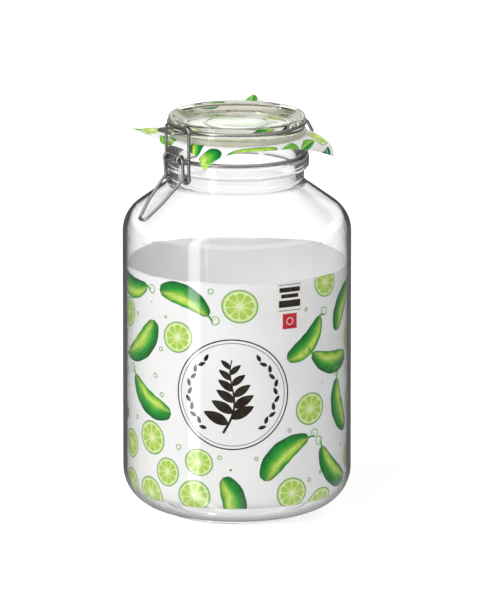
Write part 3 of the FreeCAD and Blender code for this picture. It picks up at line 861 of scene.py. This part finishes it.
def cover_reach(azimuth):
    """How far out the square's edge is from the jar's axis, laid flat."""
    way = Vector((math.cos(math.radians(azimuth)), math.sin(math.radians(azimuth))))
    reaches = []
    for quarter in range(4):
        turn = math.radians(COVER_TURN + 90 * quarter)
        normal = Vector((math.cos(turn), math.sin(turn)))
        if normal.dot(way) > 1e-6:
            reaches.append((COVER_SIDE / 2 + normal.dot(COVER_SHIFT)) / normal.dot(way))
    return min(reaches)


def on_cover(azimuth, out_along, length, proud=0.0):
    """A point on the hanging edge, a length out from the fold."""
    slope, curl, lean, tuck = hang_at(azimuth)
    radius, z, angle = COVER_FOLD, COVER_FLAT_Z, 0.0
    strides = 24
    stride = out_along / strides
    for number in range(1, strides + 1):
        here = number * stride
        ease = min(here / COVER_BEND, 1.0)
        angle = math.radians(slope * ease * ease * (3 - 2 * ease)
                             + curl * min(here / length, 1.0) ** 1.3)
        radius += stride * math.cos(angle)
        z -= stride * math.sin(angle)
    share = min(out_along / length, 1.0)
    turn = math.radians(azimuth + lean * share ** 1.5)
    out = Vector((math.cos(turn), math.sin(turn), 0))
    normal = out * math.sin(angle) + Vector((0, 0, math.cos(angle)))
    # free corners cockle a little, the parts that lie along the neck hardly at all
    free = max(0.0, 1 - abs(slope) / 55) * min(out_along / (12 * MM), 1.0)
    spot = Vector((math.cos(turn) * 9, math.sin(turn) * 9, out_along / (9 * MM)))
    cockle = noise.noise(spot) * COCKLE * MM * free
    return out * radius + Vector((0, 0, z)) + normal * (cockle + proud)


def cover_length(azimuth):
    """How much paper hangs past the fold."""
    return max(cover_reach(azimuth) - COVER_FOLD - hang_at(azimuth)[3] * MM, 1.0 * MM)


form = bmesh.new()
for corner, along, across in paper_patch(form, 216, 26):
    azimuth = along * 360
    out = (across + 1) / 2
    length = cover_length(azimuth)
    if out < FLAT_SHARE:
        turn = math.radians(azimuth)
        radius = COVER_FOLD * out / FLAT_SHARE
        corner.co = (math.cos(turn) * radius, math.sin(turn) * radius, COVER_FLAT_Z)
    else:
        corner.co = on_cover(azimuth, length * (out - FLAT_SHARE) / (1 - FLAT_SHARE), length)
bmesh.ops.remove_doubles(form, verts=form.verts, dist=0.005 * MM)
bmesh.ops.recalc_face_normals(form, faces=form.faces)
cover = finish_piece("cover_paper", form, white_paper, "lid", thickness=PAPER)
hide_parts("cover_sheet")

form = bmesh.new()
ink = form.verts.layers.float_color.new("ink")
DARK_LEAF = colour("0F7A38")
# right corner
lay_slice(form, ink, 62, -7, 20, 8.5)
lay(form, ink, 8, 6, 2.0, lambda along, across: (72 + along * 14, -6 + across * 11, DARK_LEAF))
# front edge and front corner
lay_pod(form, ink, 17.5, -54.0, 18, 36, 8.5, 3, tip_tendril=False)
lay_pod(form, ink, -14, -66, 118, 28, 15, 3, tip_tendril=False)
lay_pod(form, ink, -34, -50, 60, 28, 13, 3, tip_tendril=False)
lay_leaf(form, ink, 46, -40, 40, 22, 9, 2)
lay_leaf(form, ink, 56, -24, 70, 18, 8, 1)
# left corner
lay_slice(form, ink, -64, 10, 40, 10.0)
lay_leaf(form, ink, -76, 16, 160, 18, 10, -1)
lay_leaf(form, ink, -52, -18, 120, 24, 10, 2)
lay_slice(form, ink, -52, 34, 0, 10.0)
# back corner
lay_leaf(form, ink, 12, 80, 80, 22, 10, 1)
lay_pod(form, ink, 34, 54, 130, 30, 13, 3, tip_tendril=False)
lay_pod(form, ink, -20, 62, 40, 32, 13, 3, tip_tendril=False)
# under the lid
lay_pod(form, ink, 10, 6, 15, 44, 15, 6)
lay_slice(form, ink, -22, -16, 0, 12.0)
lay_pod(form, ink, -10, 34, 160, 38, 14, -5)
lay_slice(form, ink, 30, 30, 60, 10.0)
lay_pod(form, ink, 14, -28, 350, 38, 12, 4)
lay_leaf(form, ink, -40, 14, 80, 22, 10, 1)
for x, y in ((50, -6), (46, 12), (-40, -6), (2, -48), (-60, 26), (58, 14), (36, -14),
             (-8, -44)):
    lay_ring(form, ink, x, y, 1.4, 0.8, DROP_GREEN, columns=12)


def onto_cover(x, y, proud):
    """The place on the square for a place on the flat print, kept inside its edge."""
    radius = math.hypot(x, y)
    azimuth = math.degrees(math.atan2(y, x)) % 360
    if radius <= COVER_FOLD:
        return Vector((x, y, COVER_FLAT_Z + proud))
    length = cover_length(azimuth)
    return on_cover(azimuth, min(radius - COVER_FOLD, length - 0.1 * MM), length, proud)


finish_print("cover_paper_print", form, onto_cover, "lid")
